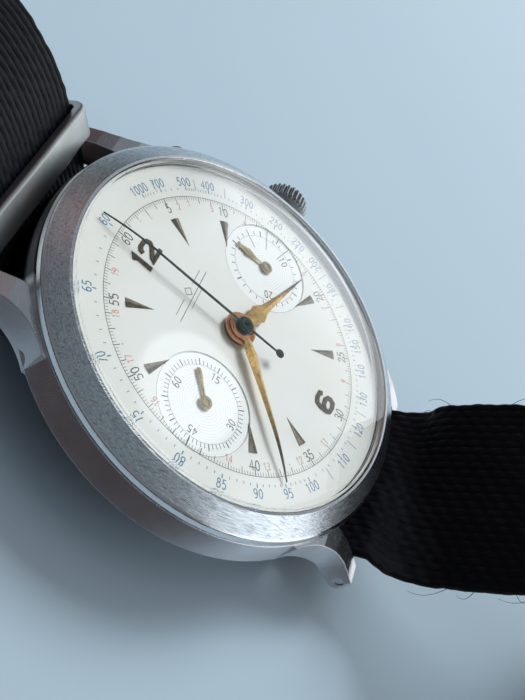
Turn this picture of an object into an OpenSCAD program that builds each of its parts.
// Two-register hand-wound chronograph wristwatch on a pull-through nylon strap.
// Origin: centre of the strap's flat underside below the case. +Z out of the dial,
// +Y towards 12 o'clock, +X towards the crown. Millimetres.

/* [Case] */
// Radius of the case at the foot of its flank
case_r = 19; // [18.6:0.1:19.4]
// Radius of the bezel at its outer edge
bezel_r = 18.5; // [18.2:0.1:18.6]
// Gap between the two lugs of a pair, the strap size
lug_gap = 18; // [18:0.1:18.2]
// Width of one lug
lug_w = 2; // [1.8:0.1:2.2]
// Distance of the spring bars from the centre
bar_y = 20.5; // [20.5:0.05:20.7]
// Height of the crystal's top above the case back
crystal_top = 12.2; // [11.6:0.1:12.8]

/* [Dial and hands] */
// Radius of the dial
dial_r = 16.9; // [16.7:0.1:16.95]
// Distance of the two small dials from the centre
sub_x = 8.6; // [8.5:0.05:8.65]
// Radius of the small dials
sub_r = 4.55; // [4.2:0.05:4.6]
// Time shown, hours
show_hour = 3; // [0:1:11]
// Time shown, minutes
show_minute = 38; // [0:1:59]
// Running seconds shown
show_second = 9; // [0:1:59]
// Length of the minute hand
minute_len = 13.6; // [12:0.1:14]
// Length of the hour hand
hour_len = 10.8; // [9:0.1:11]
// Length of the chronograph hand
chrono_len = 14.9; // [14:0.1:15]

/* [Crown and pushers] */
// Radius of the crown over its teeth
crown_r = 2.45; // [2.2:0.05:2.8]
// Number of teeth round the crown
crown_teeth = 28; // [20:1:32]
// Radius of a pusher cap
pusher_r = 1.15; // [1.1:0.05:1.3]
// Distance of a pusher's face from the centre
pusher_face = 20; // [19.95:0.05:20.4]
// Angle of the pushers above and below the crown
pusher_angle = 38; // [36:0.5:39]

/* [Strap] */
// Width of the strap
strap_w = 17.8; // [17.4:0.1:17.8]
// Thickness of the strap
strap_t = 1.05; // [1:0.01:1.06]
// Distance of the strap's pointed end from the centre
tail_y = 150; // [140:1:160]
// Distance of the buckle's bar from the centre
buckle_y = 93; // [88:1:100]
// Roll of the tail where it leaves the case
tail_roll = 22; // [0:1:24]

/* [Hidden] */
$fn = 64;

steel = "silver";
gilt = "goldenrod";
brass = "darkkhaki";
blued = "midnightblue";

slack = 0.05;                    // gap between pieces that lie on each other
fit = 0.03;                      // radial clearance of a running fit
back_z = strap_t + slack;        // the case back stands on the strap

// Heights of the movement's layers above the case back
bridge_z = 3.35;
bridge_t = 0.5;
plate_z = 5.5;
plate_t = 0.9;
dial_z = 7.0;
dial_t = 0.4;
move_r = 14.7;
stem_z = 5.2;

// Arbors, seen from the dial
C = [0, 0];
F = [-sub_x, 0];
M = [sub_x, 0];
barrel_d = 6.51;
B = barrel_d * [cos(47), sin(47)];
T = [-5.3, 2.9];
E = [-7.97, -3.57];
P = [-6.16, -5.84];
W = [-3.4, -9.3];
K = [11.7, 0];
I = [10.49, 3.39];
J = 4.8 * [cos(-60), sin(-60)];
Q = [8.9, -7.5];
H = [12.4, -4.6];
G = [-4.35, 1.34];
click_pivot = [-2.6, 6.6];

// Modules of the gear pairs
m_barrel = 2 * barrel_d / 84;
m_centre = 2 * norm(T - C) / 72;
m_third = 2 * norm(F - T) / 68;
m_fourth = 2 * norm(E - F) / 66;
m_cannon = 0.2;
m_hour = 0.192;
m_wind = 0.19;

tube_r = 1.1;                    // tubes that guide the crown and the pushers
recess_x = 17.75;                // floor of the pockets that the pusher caps sink into
drive_r = 3.2;                   // driving wheel and chronograph wheel
couple_r = 1.18;

function dir(a, b) = atan2(b.y - a.y, b.x - a.x);
function clock(unit) = 90 - 6 * unit;
function gap_to(a, b, n) = dir(b, a) + 180 / n;
function smooth(x, a, b) = let (u = min(1, max(0, (x - a) / (b - a)))) u * u * (3 - 2 * u);

// Screws: place, height of the face under the head, length of the shank
screws = [
    [[9.2, 10.1], bridge_z, 2.5], [[-3.6, 13.2], bridge_z, 2.5], [[13.4, -2.9], bridge_z, 2.5],
    [[-13.6, 0.6], 3.42, 2.4], [[-11.2, -7.9], 3.42, 2.4],
    [[2.4, -13.3], 1.9, 3.9], [[-8.8, 10.4], 1.25, 4.5], [[11.9, 6.6], 1.25, 2.3]
];

module at(p, z) {
    translate([p.x, p.y, back_z + z]) children();
}

module rod(p, z0, z1, r) {
    at(p, z0) cylinder(h = z1 - z0, r = r);
}

module ring(r_out, r_in, h) {
    difference() {
        cylinder(h = h, r = r_out);
        translate([0, 0, -1]) cylinder(h = h + 2, r = r_in);
    }
}

// Spur gear with slim teeth, one of them centred on the angle "phase"
module gear(n, m, t, phase, bore) {
    pitch = 360 / n;
    rp = n * m / 2;
    tips = [for (i = [0 : n - 1], s = [[-0.3, -1.15], [-0.12, 0.8], [0.12, 0.8], [0.3, -1.15]])
        let (a = phase + pitch * (i + s[0]), r = rp + s[1] * m) r * [cos(a), sin(a)]];
    linear_extrude(t) difference() {
        polygon(tips);
        if (bore > 0) circle(bore);
    }
}

// Round windows cut through a wheel between its arms
module windows(count, r_mid, r_hole) {
    for (i = [0 : count - 1]) rotate(360 * (i + 0.5) / count)
        translate([r_mid, 0, -2]) cylinder(h = 4, r = r_hole);
}

// Flat bar from p to q with round ends, a little wider than its straight part
module bar(p, q, r, t) {
    half = 0.97 * r;
    translate([p.x, p.y, 0]) cylinder(h = t, r = r);
    translate([q.x, q.y, 0]) cylinder(h = t, r = r);
    translate([p.x, p.y, 0]) rotate(dir(p, q)) translate([0, -half, 0])
        cube([norm(q - p), 2 * half, t]);
}

module screw_holes() {
    for (s = screws) rod(s[0], s[1] - 1, s[1] + s[2], 0.3);
}

// ---- Case ----

// Side of a lug: from the flank of the case down to the spring bar
module lug_side() {
    intersection() {
        union() {
            translate([bar_y, 2.9]) circle(1.15);
            polygon([[12, 3.9], [17.2, 3.3], [bar_y - 0.7, 1.99], [bar_y + 1.15, 2.9],
                [bar_y + 0.76, 3.76], [19.9, 4.75], [18.6, 5.6], [17.2, 6.25], [15.5, 6.75],
                [12, 7.15]]);
        }
        translate([12, 1]) square([12, 7]);
    }
}

// Plan of a lug: a hollow curve runs from the flank into the straight outer side
module lug_plan() {
    curve_r = 7.75;
    corner_r = 0.8;
    x_out = lug_gap / 2 + lug_w;
    y_tip = bar_y + 1.3;
    difference() {
        union() {
            translate([lug_gap / 2, 11]) square([5, 8]);
            translate([lug_gap / 2, 18]) square([lug_w, y_tip - corner_r - 18]);
            translate([lug_gap / 2, 18]) square([lug_w - corner_r, y_tip - 18]);
            translate([x_out - corner_r, y_tip - corner_r]) circle(corner_r);
        }
        translate([x_out + curve_r, 19]) circle(curve_r, $fn = 128);
    }
}

module lug(side, end) {
    mirror([side < 0 ? 1 : 0, 0, 0]) mirror([0, end < 0 ? 1 : 0, 0]) difference() {
        intersection() {
            translate([lug_gap / 2 - 1, 0, back_z]) rotate([90, 0, 90]) linear_extrude(8)
                lug_side();
            translate([0, 0, back_z]) linear_extrude(9) lug_plan();
        }
        translate([lug_gap / 2 - 1, bar_y, back_z + 2.9]) rotate([0, 90, 0])
            cylinder(h = lug_w + 4, r = 0.5);
    }
}

module pusher_place(s) {
    rotate(s * pusher_angle) translate([0, 0, back_z + stem_z]) rotate([0, 90, 0]) children();
}

module tube_holes(r) {
    translate([13, 0, back_z + stem_z]) rotate([0, 90, 0]) cylinder(h = 8, r = r);
    for (s = [-1, 1]) pusher_place(s) translate([0, 0, 13]) cylinder(h = 8, r = r);
}

module mid_case() {
    color(steel) difference() {
        union() {
            translate([0, 0, back_z]) rotate_extrude() polygon([
                [16.1, 4.2], [16.5, 4.2], [16.5, 2.9], [17.3, 2.9], [18.4, 3.6],
                [case_r, 4.2], [18.7, 7.2], [17.05, 7.2], [17.05, 6.95], [16.1, 6.95]]);
            for (side = [-1, 1], end = [-1, 1]) lug(side, end);
        }
        translate([0, 0, back_z - 1]) cylinder(h = 8, r = 16.1);
        translate([0, 0, back_z - 1]) cylinder(h = 5.2, r = 16.5);
        translate([0, 0, back_z + 6.95]) cylinder(h = 2, r = 17.05);
        tube_holes(tube_r);
        for (s = [-1, 1]) pusher_place(s) translate([0, 0, recess_x])
            cylinder(h = 4, r = pusher_r + 0.1);
    }
}

module bezel() {
    color(steel) translate([0, 0, back_z]) rotate_extrude() polygon([
        [16.4, 7.44], [17, 7.44], [17, 7.23], [18.65, 7.23], [bezel_r + 0.08, 7.5], [bezel_r, 7.78],
        [bezel_r - 0.15, 7.9], [16.62, 9.06], [16.5, 9.1], [16.4, 9.05]]);
}

module crystal() {
    rim = 9.5;
    rise = crystal_top - rim - 0.5;
    wide = 16.05;
    function dome(k, r, z, up) = [for (i = [0 : k]) let (a = 90 * i / k)
        [r * cos(a) + 0, z + up * sin(a)]];
    color("azure", 0.35) translate([0, 0, back_z]) rotate_extrude() polygon(concat(
        [[16.36, 7.45], [16.36, rim]], dome(24, wide, rim + 0.5, rise),
        [for (i = [24 : -1 : 0]) let (a = 90 * i / 24)
            [(wide - 0.6) * cos(a), rim - 0.6 + (rise - 0.7) * sin(a)]],
        [[wide - 0.6, 7.45]]));
}

module case_back() {
    color(steel) translate([0, 0, back_z]) rotate_extrude() polygon([
        [0, 0], [13.8, 0], [14.3, 0.15], [16.7, 2.0], [17.1, 2.4], [17.1, 2.85], [16.45, 2.85],
        [16.45, 3.9], [15.6, 3.9], [15.6, 2.2], [14.2, 0.8], [0, 0.8]]);
}

module back_gasket() {
    color("dimgray") at(C, 3.92) ring(16.4, 15.8, 0.26);
}

module movement_ring() {
    color(brass) difference() {
        at(C, 4.3) ring(16.05, move_r + 0.05, 2.65);
        tube_holes(1.3);
    }
}

module case_tubes() {
    color(brass) {
        translate([16.2, 0, back_z + stem_z]) rotate([0, 90, 0])
            ring(tube_r, 0.55 + slack, 3.2);
        for (s = [-1, 1]) pusher_place(s) translate([0, 0, 16.2])
            ring(tube_r, 0.72, recess_x - 16.2);
    }
}

module spring_bars() {
    color("gray") for (s = [-1, 1]) translate([0, s * bar_y, back_z + 2.9]) rotate([0, 90, 0]) {
        cylinder(h = lug_gap - 0.3, r = 0.65, center = true);
        cylinder(h = lug_gap + 3.8, r = 0.47, center = true);
    }
}

// ---- Strap ----

// Arc of radius r that rounds the corner at b between a and c
function corner(a, b, c, r, n) = let (
    u = (a - b) / norm(a - b), v = (c - b) / norm(c - b), half = acos(u * v) / 2,
    mid = b + (u + v) / norm(u + v) * r / sin(half),
    first = b + u * r / tan(half), turn = 180 - 2 * half, start = dir(mid, first),
    s = u.x * v.y - u.y * v.x > 0 ? -1 : 1)
    [for (i = [0 : n]) mid + r * [cos(start + s * turn * i / n), sin(start + s * turn * i / n)]];

// Line through the corners in "pts", each rounded by its radius in "radii"
function route(pts, radii, n) = concat([pts[0]],
    [for (i = [1 : len(pts) - 2]) each corner(pts[i - 1], pts[i], pts[i + 1], radii[i], n)],
    [pts[len(pts) - 1]]);

function heading(line, i) = let (a = line[max(0, i - 1)], b = line[min(len(line) - 1, i + 1)])
    (b - a) / norm(b - a);

function side_of(line, off) = [for (i = [0 : len(line) - 1])
    let (t = heading(line, i)) line[i] + off * [-t.y, t.x]];

function run_to(line, i) = i <= 0 ? 0 : norm(line[i] - line[i - 1]) + run_to(line, i - 1);

function flip(v) = [for (i = [len(v) - 1 : -1 : 0]) v[i]];

mid_t = strap_t / 2;
seam_y = 18.6;                   // where the woven tail joins the part below the case
flat_y = 73;                     // where the tail has come down flat
rise = seam_y - 15.2;
lap = 0.3;                       // how far the woven stretches run into each other

head_line = route([[-seam_y, mid_t + rise], [-15.2, mid_t], [15.2, mid_t], [31.7, mid_t + 16.5],
    [62.6, mid_t], [buckle_y, mid_t]], [0, 3, 3, 16, 25], 8);

tail_line = route([[seam_y - lap, mid_t + rise - lap], [20.9, mid_t + 5.7], [23.6, 7.65],
    [38.3, 30.3], [65.1, mid_t], [flat_y + lap, mid_t]], [0, 2, 4, 11, 16], 9);

module ribbon(line, width) {
    rotate([90, 0, 90]) linear_extrude(width, center = true)
        polygon(concat(side_of(line, mid_t), flip(side_of(line, -mid_t))));
}

module strap_tail_rise() {
    n = len(tail_line);
    corners = [for (i = [0 : n - 1]) let (
        t = heading(tail_line, i), s = run_to(tail_line, i),
        roll = tail_roll * smooth(s, 3, 10.5) * (1 - smooth(s, 26, 58)),
        up = [0, t.y, t.x], wide = [cos(roll), 0, 0] + sin(roll) * up,
        high = cos(roll) * up - [sin(roll), 0, 0], p = [0, -tail_line[i].x, tail_line[i].y])
        each [for (k = [[-1, -1], [1, -1], [1, 1], [-1, 1]])
            p + k[0] * wide * (strap_w / 2 - 0.02) + k[1] * high * (mid_t - 0.01)]];
    faces = concat([[0, 1, 2], [0, 2, 3]],
        [for (i = [0 : n - 2], k = [0 : 3]) let (a = 4 * i + k, b = 4 * i + (k + 1) % 4)
            each [[a, a + 4, b], [b, a + 4, b + 4]]],
        [[4 * n - 4, 4 * n - 2, 4 * n - 3], [4 * n - 4, 4 * n - 1, 4 * n - 2]]);
    polyhedron(corners, faces);
}

module strap_tail_flat() {
    difference() {
        linear_extrude(strap_t) polygon([
            [-strap_w / 2, -flat_y], [-strap_w / 2, 9 - tail_y], [-3, 1 - tail_y], [0, -tail_y],
            [3, 1 - tail_y], [strap_w / 2, 9 - tail_y], [strap_w / 2, -flat_y]]);
        for (i = [0 : 8]) translate([0, 16 + 6.5 * i - tail_y, -1]) cylinder(h = 4, r = 0.8);
    }
}

loop_r = 0.78;                   // inside radius of the loop round the buckle's bar
buckle_z = strap_t + loop_r;

module strap_fold() {
    line = concat([[buckle_y - 0.05, mid_t]],
        [for (i = [0 : 8]) [buckle_y, buckle_z]
            + (loop_r + mid_t) * [sin(22.5 * i), -cos(22.5 * i)]],
        [[buckle_y - 2.5, buckle_z + 1.1], [buckle_y - 6, 1.45 * strap_t],
            [buckle_y - 18, 1.45 * strap_t]]);
    ribbon(line, strap_w);
}

module strap() {
    color("#15161a") {
        difference() {
            union() {
                ribbon(head_line, strap_w);
                strap_fold();
            }
            translate([-1.6, buckle_y - 1.9, -1]) cube([3.2, 8, 8]);
        }
        strap_tail_rise();
        strap_tail_flat();
    }
}

// Steel loop round the strap, beside the lugs at 12 o'clock
keeper_wall = 0.9;
keeper_band = 3;
keeper_in = strap_w + 0.5;
keeper_high = 2.35;

module strap_keeper() {
    outer = [keeper_in + 2 * keeper_wall, keeper_high + 2 * keeper_wall];
    color(steel) translate([0, 15.2, mid_t]) rotate([45, 0, 0])
        translate([0, 7.35 + keeper_band / 2, -0.43]) rotate([90, 0, 0]) difference() {
            linear_extrude(keeper_band, center = true) union() {
                square([outer.x - 2, outer.y], center = true);
                square([outer.x, outer.y - 2], center = true);
                for (x = [-1, 1], y = [-1, 1])
                    translate([x * (outer.x / 2 - 1), y * (outer.y / 2 - 1)]) circle(1);
            }
            cube([keeper_in, keeper_high, keeper_band + 2], center = true);
        }
}

// ---- Buckle ----

frame_w = 22;
frame_l = 9.2;
stock_r = 0.9;

module buckle_frame() {
    x_side = frame_w / 2 - stock_r;
    color(steel) translate([0, buckle_y, buckle_z]) rotate([-5.6, 0, 0]) difference() {
        union() {
            for (s = [-1, 1]) {
                translate([s * x_side, 0, 0]) rotate([-90, 0, 0])
                    cylinder(h = frame_l, r = stock_r);
                translate([s * x_side, 0, 0]) rotate([0, 90, 0])
                    cylinder(h = 2 * stock_r, r = 1.25, center = true);
                translate([s * x_side, frame_l, 0]) sphere(stock_r);
            }
            translate([0, frame_l, 0]) rotate([0, 90, 0])
                cylinder(h = 2 * x_side, r = stock_r, center = true);
        }
        rotate([0, 90, 0]) cylinder(h = frame_w + 2, r = 0.7 + fit, center = true);
    }
}

module buckle_tang() {
    color(steel) translate([0, buckle_y, buckle_z]) difference() {
        union() {
            rotate([0, 90, 0]) cylinder(h = 2.4, r = 1.3, center = true);
            rotate([4, 0, 0]) translate([0, 0, 0.15]) rotate([-90, 0, 0])
                cylinder(h = frame_l + 1, r = 0.6);
        }
        rotate([0, 90, 0]) cylinder(h = 8, r = 0.7 + fit, center = true);
    }
}

module buckle_bar() {
    color("gray") translate([0, buckle_y, buckle_z]) rotate([0, 90, 0])
        cylinder(h = frame_w, r = 0.7, center = true);
}

// ---- Crown, pushers and keyless works ----

module along_stem() {
    translate([0, 0, back_z + stem_z]) rotate([0, 90, 0]) children();
}

module crown() {
    pitch = 360 / crown_teeth;
    color(steel) along_stem() difference() {
        union() {
            translate([0, 0, 20.1]) linear_extrude(1.5)
                polygon([for (i = [0 : crown_teeth - 1], s = [[-0.5, 0.9], [-0.2, 1], [0.2, 1]])
                    let (a = pitch * (i + s[0])) crown_r * s[1] * [cos(a), sin(a)]]);
            translate([0, 0, 19.95]) cylinder(h = 1.9, r = crown_r * 0.93);
            translate([0, 0, 21.6]) cylinder(h = 0.35, r = crown_r * 0.8);
        }
        translate([0, 0, 19.5]) cylinder(h = 1, r = 1.3);
        translate([0, 0, 19.5]) cylinder(h = 1.6, r = 0.55);
    }
}

module winding_stem() {
    color("gray") along_stem() {
        translate([0, 0, 13]) cylinder(h = 8.1, r = 0.55);
        translate([-0.35, -0.35, 9.2]) cube([0.7, 0.7, 3.9]);
    }
}

module sliding_pinion() {
    color("gray") along_stem() difference() {
        union() {
            translate([0, 0, 11.2]) cylinder(h = 0.7, r = 1.1);
            translate([0, 0, 11.8]) cylinder(h = 0.5, r = 0.8);
            translate([0, 0, 12.2]) cylinder(h = 0.75, r = 1.1);
        }
        translate([-0.4, -0.4, 10]) cube([0.8, 0.8, 4]);
    }
}

module winding_pinion() {
    color("gray") along_stem() difference() {
        union() {
            translate([0, 0, 13.52]) gear(16, m_wind, 0.8, 0, 0);
            translate([0, 0, 13.05]) cylinder(h = 0.5, r = 0.95);
        }
        translate([0, 0, 12]) cylinder(h = 4, r = 0.55 + fit);
    }
}

module pusher(s) {
    cap_h = 1.2;
    stem_end = 15.6;
    color(steel) pusher_place(s) {
        difference() {
            translate([0, 0, pusher_face - cap_h]) cylinder(h = cap_h - 0.15, r = pusher_r);
            translate([0, 0, pusher_face - cap_h - 1]) cylinder(h = 1.7, r = 1.04);
        }
        translate([0, 0, pusher_face - 0.2]) cylinder(h = 0.2, r = pusher_r - 0.12);
        translate([0, 0, stem_end]) cylinder(h = pusher_face - 1 - stem_end, r = 0.68);
        translate([0, 0, stem_end]) cylinder(h = 0.5, r = 0.95);
    }
}

// Coil spring standing on z = 0: "turns" turns of wire of radius "wire"
module coil_spring(r, wire, turns, h) {
    steps = 14;
    sides = 6;
    n = turns * steps;
    rise = h - 2 * wire;
    rings = [for (i = [0 : n], k = [0 : sides - 1]) let (a = 360 * i / steps, b = 60 * k,
        out = r + wire * cos(b)) [out * cos(a), out * sin(a), wire * (1 + sin(b)) + rise * i / n]];
    walls = [for (i = [0 : n - 1], k = [0 : sides - 1])
        let (a = sides * i + k, b = sides * i + (k + 1) % sides)
        each [[a, b, a + sides], [b, b + sides, a + sides]]];
    ends = [for (k = [1 : sides - 2]) each [[0, k + 1, k],
        [n * sides, n * sides + k, n * sides + k + 1]]];
    polyhedron(rings, concat(walls, ends));
}

module pusher_spring(s) {
    color("gray") pusher_place(s) translate([0, 0, recess_x + 0.04])
        coil_spring(0.93, 0.07, 2, 0.98);
}

module start_pusher() { pusher(1); }

module reset_pusher() { pusher(-1); }

module start_spring() { pusher_spring(1); }

module reset_spring() { pusher_spring(-1); }

module setting_lever() {
    color("gray") difference() {
        at([0, 0], 6.45) bar([12.2, 2.4], [9.6, 3.4], 0.6, 0.3);
        rod([11.1, 2.8], 6, 7, 0.3 + fit);
    }
}

module yoke() {
    color("gray") difference() {
        at([0, 0], 6.45) {
            bar([9.2, -4.6], [10.4, -2.6], 0.5, 0.3);
            bar([10.4, -2.6], [11.5, -2.2], 0.4, 0.3);
        }
        rod([9.2, -4.6], 6, 7, 0.3 + fit);
    }
}

// ---- Plates, bridges and fixings ----

pivots = [[T, 0.15], [E, 0.12], [P, 0.12], [W, 0.12]];
jewel_r = 0.6;

module main_plate() {
    color(brass) difference() {
        union() {
            at(C, plate_z) cylinder(h = plate_t, r = move_r);
            rod([11.1, 2.8], plate_z, 6.85, 0.3);
            rod([9.2, -4.6], plate_z, 6.85, 0.3);
            rod(J, plate_z, 6.95, 0.25);
            rod(Q, 1.8, plate_z, 0.5);
            rod(H, 1.6, plate_z, 0.5);
        }
        translate([9.3, -1.75, back_z + 4]) cube([8, 3.5, 4]);
        rod(C, 5, 7, 1);
        for (p = [F, M]) rod(p, 5, 7, 0.3 + fit);
        for (p = pivots) {
            rod(p[0], 5, plate_z + 0.3, jewel_r);
            rod(p[0], 5, 7, p[1] + fit);
        }
        rod(B, 5, plate_z + 0.5, 0.8 + fit);
        screw_holes();
    }
}

module foot(p, r, z0) {
    rod(p, z0, plate_z, r);
}

module barrel_bridge() {
    color(steel) difference() {
        union() {
            intersection() {
                at(C, bridge_z) cylinder(h = bridge_t, r = 14.6);
                translate([0, 0, back_z + bridge_z - 1]) rotate(40)
                    translate([1.6, -11.4, 0]) cube([20, 26, 3]);
            }
            foot([9.2, 10.1], 0.9, bridge_z);
            foot([-3.6, 13.2], 0.9, bridge_z);
            foot([13.4, -2.9], 0.9, bridge_z);
            rod(click_pivot, 2.9, bridge_z, 0.27);
        }
        translate([12.9, -1.15, back_z + 3]) cube([2.2, 2.3, 2]);
        rod(Q, 3, 6, 0.6);
        rod(K, 3, 4, 2.3);
        rod(M, 3, 4, 0.3 + 0.1);
        rod(B, 3, 4, 0.8 + fit);
        rod(I, 3, 3.7, 0.3 + fit);
        rod(H, 3, 6, 0.6);
        screw_holes();
    }
}

module train_bridge() {
    t = 0.36;
    color(steel) difference() {
        union() {
            at(C, 3.42) {
                bar(C, T, 0.95, t);
                bar(T, F, 0.95, t);
                bar(F, E, 0.95, t);
                bar(E, P, 0.95, t);
                bar(F, [-13.6, 0.6], 0.95, t);
                bar(E, [-11.2, -7.9], 0.95, t);
            }
            foot([-13.6, 0.6], 0.8, 3.42);
            foot([-11.2, -7.9], 0.8, 3.42);
            rod(F, 2.6, 3.5, 0.5);
        }
        rod(C, 3, 4, 0.55 + fit);
        rod(F, 2, 4, 0.3 + fit);
        for (p = [[T, 0.15], [E, 0.12], [P, 0.12]]) {
            rod(p[0], 3, 3.62, jewel_r);
            rod(p[0], 3, 4, p[1] + fit);
        }
        screw_holes();
    }
}

module balance_cock() {
    color(steel) difference() {
        union() {
            at(C, 1.9) bar(W, [2.4, -13.3], 1.15, 0.45);
            foot([2.4, -13.3], 1.05, 1.9);
        }
        rod(W, 1, 2.15, jewel_r);
        rod(W, 1, 3, 0.12 + fit);
        screw_holes();
    }
}

module chrono_bridge() {
    color(steel) difference() {
        union() {
            at(C, 1.25) {
                bar(C, M, 0.9, 0.4);
                bar(C, [-8.8, 10.4], 0.9, 0.4);
                bar(M, [11.9, 6.6], 0.9, 0.4);
                bar(M, K, 0.7, 0.4);
            }
            rod(K, 1.6, 3.75, 0.4);
            foot([-8.8, 10.4], 0.8, 1.25);
            rod([11.9, 6.6], 1.25, bridge_z, 0.8);
        }
        rod(C, 1, 2, 0.2 + fit);
        rod(M, 1, 2, 0.2 + fit);
        screw_holes();
    }
}

module bridge_screws() {
    color("slateblue") for (s = screws) {
        rod(s[0], s[1], s[1] + s[2], 0.3);
        difference() {
            rod(s[0], s[1] - 0.3, s[1], 0.65);
            at(s[0], s[1] - 0.4) translate([-1, -0.08, 0]) cube([2, 0.16, 0.2]);
        }
    }
}

module jewel(p, z, hole, t) {
    at(p, z) ring(jewel_r, hole + fit, t);
}

module jewels() {
    color("crimson") {
        for (p = pivots) jewel(p[0], plate_z, p[1], 0.3);
        for (p = [[T, 0.15], [E, 0.12], [P, 0.12]]) jewel(p[0], 3.42, p[1], 0.2);
        jewel(W, 1.9, 0.12, 0.25);
    }
}

module dial() {
    color("whitesmoke") difference() {
        union() {
            at(C, dial_z) cylinder(h = dial_t, r = dial_r);
            for (a = [100, 280]) rod(13.9 * [cos(a), sin(a)], dial_z - 0.5, dial_z, 0.35);
        }
        rod(C, 6, 8, 1.35);
        for (p = [F, M]) {
            rod(p, 6, 8, 0.4);
            at(p, dial_z + dial_t - 0.08) cylinder(h = 1, r = sub_r);
        }
    }
}

// ---- Barrel and winding wheels ----

module barrel_drum() {
    color(brass) at(B, 3.95) difference() {
        union() {
            gear(72, m_barrel, 0.25, dir(B, C), 0);
            cylinder(h = 1.1, r = 5.2);
        }
        translate([0, 0, 0.25]) cylinder(h = 2, r = 4.95);
        translate([0, 0, -1]) cylinder(h = 3, r = 0.8 + fit);
    }
}

module barrel_cover() {
    color(brass) at(B, 4.85) ring(4.94, 0.8 + fit, 0.2);
}

module mainspring() {
    turns = 7;
    steps = 18;
    function coil(r0, r1) = [for (i = [0 : turns * steps])
        let (a = 360 * i / steps, r = r0 + (r1 - r0) * i / (turns * steps)) r * [cos(a), sin(a)]];
    color("lightsteelblue") at(B, 4.25) linear_extrude(0.55)
        polygon(concat(coil(1.35, 4.7), flip(coil(1.5, 4.85))));
}

module barrel_arbor() {
    color("gray") {
        rod(B, 2.7, 5.9, 0.8);
        rod(B, 4.23, 4.82, 1.25);
    }
}

module ratchet_wheel() {
    color(steel) at(B, 2.85) gear(48, m_wind, 0.4, gap_to(I, B, 48), 0.8);
}

module winding_idler() {
    color(steel) difference() {
        union() {
            at(I, 2.85) gear(18, m_wind, 0.4, dir(I, B), 0);
            rod(I, 3.2, 3.7, 0.3);
        }
        rod(I, 2, 3, 0.5);
    }
}

module crown_wheel() {
    idler_tooth = dir(I, B) + 20 * round((dir(I, K) - dir(I, B)) / 20);
    slip = (dir(I, K) - idler_tooth) * 18 / 20;
    color(steel) difference() {
        union() {
            at(K, 2.85) gear(20, m_wind, 0.4, dir(K, I) + slip + 9, 0);
            at(K, 3.2) cylinder(h = 0.3, r = 1.4);
            at(K, 3.45) gear(20, m_wind, 0.15, 9, 0);
        }
        rod(K, 2, 4, 0.4 + fit);
    }
}

module click() {
    knee = [-1.2, 6.9];
    color("gray") difference() {
        at(C, 2.85) {
            bar(click_pivot, knee, 0.5, 0.35);
            bar(knee, [-0.08, 6.87], 0.22, 0.35);
        }
        rod(click_pivot, 2, 4, 0.27 + fit);
    }
}

// ---- Going train ----

module center_wheel() {
    color(brass) difference() {
        union() {
            at(C, 5.2) difference() {
                gear(64, m_centre, 0.18, dir(C, T), 0);
                windows(5, 3.1, 1.1);
            }
            at(C, 3.95) gear(12, m_barrel, 0.3, gap_to(B, C, 12), 0);
            rod(C, 3.44, 7.9, 0.55);
        }
        rod(C, 3, 9, 0.25 + fit);
    }
}

module third_wheel() {
    color(brass) {
        at(T, 4.25) difference() {
            gear(60, m_third, 0.18, dir(T, F), 0);
            windows(5, 2.6, 0.95);
        }
        at(T, 5.02) gear(8, m_centre, 0.4, gap_to(C, T, 8), 0);
        rod(T, 3.82, 5.44, 0.28);
        rod(T, 3.44, 5.78, 0.15);
    }
}

module fourth_wheel() {
    color(brass) {
        at(F, 3.86) gear(60, m_fourth, 0.16, dir(F, E), 0);
        at(F, 4.12) gear(8, m_third, 0.42, gap_to(T, F, 8), 0);
        rod(F, 2.2, 7.6, 0.3);
        at(F, 2.3) cylinder(h = 0.2, r = drive_r);
    }
}

module escape_wheel() {
    r = 2.3;
    spin = 6;
    teeth = [for (i = [0 : 14], s = [[0, 1.6], [8, 2.3], [9.5, 2.3], [10, 1.65]])
        let (a = 24 * i + s[0] + spin) s[1] * [cos(a), sin(a)]];
    color("gray") {
        at(E, 4.62) linear_extrude(0.14) polygon(teeth);
        at(E, 3.82) gear(6, m_fourth, 0.3, gap_to(F, E, 6), 0);
        rod(E, 3.82, 5.44, 0.2);
        rod(E, 3.44, 5.78, 0.12);
    }
}

module pallet_fork() {
    to_wheel = dir(P, E);
    to_balance = dir(P, W);
    color("gray") {
        at(P, 4.62) {
            rotate(to_balance) {
                translate([0, -0.2, 0]) cube([3, 0.4, 0.14]);
                for (s = [-1, 1]) translate([2.8, s * 0.33 - 0.12, 0]) cube([0.55, 0.24, 0.14]);
                translate([2.6, -0.45, 0]) cube([0.25, 0.9, 0.14]);
            }
            rotate(to_wheel) for (s = [-1, 1]) rotate(s * 72) {
                translate([0, -0.22, 0]) cube([1.6, 0.44, 0.14]);
                translate([1.35, s < 0 ? 0.1 : -0.45, 0]) cube([0.22, 0.35, 0.14]);
            }
            cylinder(h = 0.14, r = 0.5);
        }
        rod(P, 3.82, 5.44, 0.2);
        rod(P, 3.44, 5.78, 0.12);
    }
}

module balance_wheel() {
    color(brass) {
        at(W, 2.85) {
            ring(4.4, 3.9, 0.45);
            for (a = [0 : 90 : 270]) rotate(a) translate([0.3, -0.15, 0]) cube([3.8, 0.3, 0.2]);
            cylinder(h = 0.3, r = 0.6);
        }
        rod(W, 2.4, 5.44, 0.25);
        rod(W, 2.45, 2.7, 0.6);
        rod(W, 1.95, 5.78, 0.12);
        rod(W, 4.3, 4.5, 0.95);
        rod(W + 0.75 * [cos(dir(W, P)), sin(dir(W, P))], 4.45, 4.8, 0.09);
    }
}

module hairspring() {
    turns = 8;
    steps = 16;
    function coil(r0, r1) = [for (i = [0 : turns * steps])
        let (a = 360 * i / steps, r = r0 + (r1 - r0) * i / (turns * steps)) r * [cos(a), sin(a)]];
    color(blued) at(W, 2.5) linear_extrude(0.15)
        polygon(concat(coil(0.6, 2.6), flip(coil(0.66, 2.66))));
}

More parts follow.
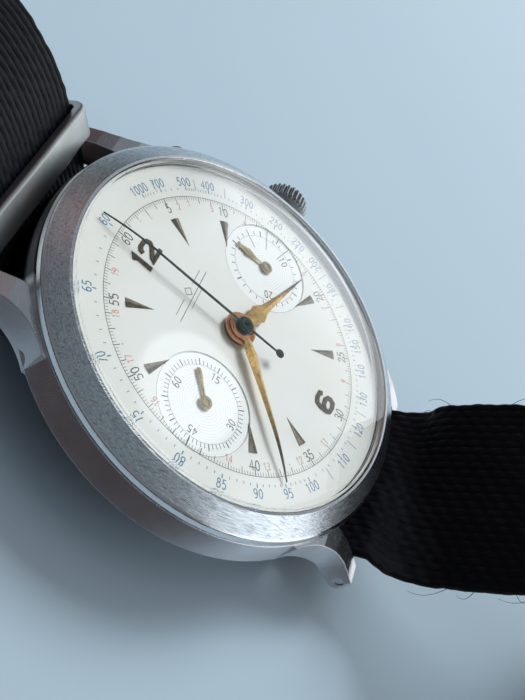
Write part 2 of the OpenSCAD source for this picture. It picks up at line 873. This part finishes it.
// ---- Motion work under the dial ----

module cannon_pinion() {
    color("gray") at(C, 6.45) difference() {
        union() {
            gear(12, m_cannon, 0.2, gap_to(J, C, 12), 0);
            cylinder(h = 1.85, r = 0.9);
        }
        translate([0, 0, -1]) cylinder(h = 4, r = 0.55);
    }
}

module minute_wheel() {
    color(brass) difference() {
        union() {
            at(J, 6.45) gear(36, m_cannon, 0.17, dir(J, C), 0);
            at(J, 6.6) gear(10, m_hour, 0.3, gap_to(C, J, 10), 0);
        }
        rod(J, 6, 7, 0.25 + fit);
    }
}

module hour_wheel() {
    color(brass) at(C, 6.7) difference() {
        union() {
            gear(40, m_hour, 0.17, dir(C, J), 0);
            cylinder(h = 1.28, r = 1.2);
        }
        translate([0, 0, -1]) cylinder(h = 4, r = 0.9 + fit);
    }
}

// ---- Chronograph ----

module column_wheel() {
    color(steel) at(Q, 1.9) difference() {
        union() {
            translate([0, 0, 0.9]) gear(12, 0.28, 0.3, 0, 0);
            ring(1.2, 0.62, 1);
        }
        for (i = [0 : 5]) rotate(60 * i) translate([0.7, -0.22, -0.1]) cube([1, 0.44, 0.9]);
        translate([0, 0, -1]) cylinder(h = 4, r = 0.5 + fit);
    }
}

// Heart-shaped reset cam: nearest to its arbor on the side of -Y
module heart(t) {
    linear_extrude(t) polygon([for (i = [0 : 35]) let (a = 10 * i,
        r = 0.45 + 0.7 * (1 - abs((a + 90) % 360 - 180) / 180)) r * [cos(a + 180), sin(a + 180)]]);
}

module chrono_runner() {
    color(steel) {
        rod(C, 1.27, 8.85, 0.2);
        rod(C, 1.7, 8.45, 0.25);
        at(C, 1.75) heart(0.2);
        at(C, 2.3) difference() {
            cylinder(h = 0.2, r = drive_r);
            windows(5, 2, 0.8);
        }
    }
}

module minute_counter() {
    color(steel) {
        rod(M, 1.27, 2, 0.2);
        rod(M, 1.7, 7.6, 0.3);
        at(M, 1.75) heart(0.2);
        at(M, 2.3) gear(30, 0.15, 0.2, 0, 0);
    }
}

module coupling_lever() {
    color(steel) difference() {
        union() {
            at(C, 2.62) {
                bar(F, G, 0.7, 0.22);
                bar(G, [-2.2, 3.9], 0.4, 0.22);
            }
            rod(G, 2.24, 2.7, 0.2);
        }
        rod(F, 2, 4, 0.5 + fit);
    }
}

module coupling_wheel() {
    color(brass) at(G, 2.3) ring(couple_r, 0.2 + fit, 0.2);
}

module reset_hammer() {
    color(steel) difference() {
        at(C, 1.75) {
            bar(H, [9.4, -2.5], 0.7, 0.2);
            bar([9.4, -2.5], [0, -2.4], 0.5, 0.2);
        }
        rod(H, 1, 3, 0.5 + fit);
    }
}

// ---- Hands ----

// Long leaf: narrow at the hub, widest at "wide_at", pointed at its end
module leaf(len, wide_at, half, neck, slim_at, slim, t) {
    linear_extrude(t) polygon([[0, -neck], [wide_at - 0.9, -neck], [wide_at, -half],
        [slim_at, -slim], [len, -0.05], [len, 0.05], [slim_at, slim], [wide_at, half],
        [wide_at - 0.9, neck], [0, neck]]);
}

module hand(angle, z) {
    translate([0, 0, back_z + z]) rotate(angle) children();
}

hour_angle = 90 - 30 * (show_hour + show_minute / 60);

module hour_hand() {
    color(gilt) hand(hour_angle, 7.82) difference() {
        union() {
            leaf(hour_len, 2.9, 0.84, 0.55, 4, 0.45, 0.15);
            cylinder(h = 0.15, r = 1.55);
        }
        translate([0, 0, -1]) cylinder(h = 3, r = 1.2);
    }
}

module minute_hand() {
    color(gilt) hand(clock(show_minute), 8.14) difference() {
        union() {
            leaf(minute_len, 2.6, 0.5, 0.38, 6, 0.32, 0.14);
            cylinder(h = 0.14, r = 1.3);
        }
        translate([0, 0, -1]) cylinder(h = 3, r = 0.9);
    }
}

module chrono_hand() {
    color(blued) hand(90, 8.5) difference() {
        union() {
            translate([-4, -0.1, 0]) cube([4 + chrono_len, 0.2, 0.1]);
            cylinder(h = 0.3, r = 0.75);
            translate([-4, 0, 0]) cylinder(h = 0.1, r = 0.42);
        }
        translate([0, 0, -1]) cylinder(h = 3, r = 0.2);
    }
}

module small_hand(p, angle, len, half) {
    translate([p.x, p.y, 0]) hand(angle, 7.48) {
        difference() {
            union() {
                linear_extrude(0.1) polygon([[0, -0.16], [len * 0.45, -0.14], [len * 0.62, -half],
                    [len, 0], [len * 0.62, half], [len * 0.45, 0.14], [0, 0.16]]);
                cylinder(h = 0.2, r = 0.62);
            }
            translate([0, 0, -1]) cylinder(h = 3, r = 0.3);
        }
    }
}

module seconds_hand() {
    color(gilt) small_hand(F, clock(show_second), 3.6, 0.3);
}

module counter_hand() {
    color(gilt) small_hand(M, 90, 3.3, 0.42);
}

mid_case();
bezel();
crystal();
case_back();
back_gasket();
movement_ring();
case_tubes();
spring_bars();
strap();
strap_keeper();
buckle_frame();
buckle_tang();
buckle_bar();
crown();
winding_stem();
sliding_pinion();
winding_pinion();
start_pusher();
reset_pusher();
start_spring();
reset_spring();
setting_lever();
yoke();
main_plate();
barrel_bridge();
train_bridge();
balance_cock();
chrono_bridge();
bridge_screws();
jewels();
dial();
barrel_drum();
barrel_cover();
mainspring();
barrel_arbor();
ratchet_wheel();
winding_idler();
crown_wheel();
click();
center_wheel();
third_wheel();
fourth_wheel();
escape_wheel();
pallet_fork();
balance_wheel();
hairspring();
cannon_pinion();
minute_wheel();
hour_wheel();
column_wheel();
chrono_runner();
minute_counter();
coupling_lever();
coupling_wheel();
reset_hammer();
hour_hand();
minute_hand();
chrono_hand();
seconds_hand();
counter_hand();
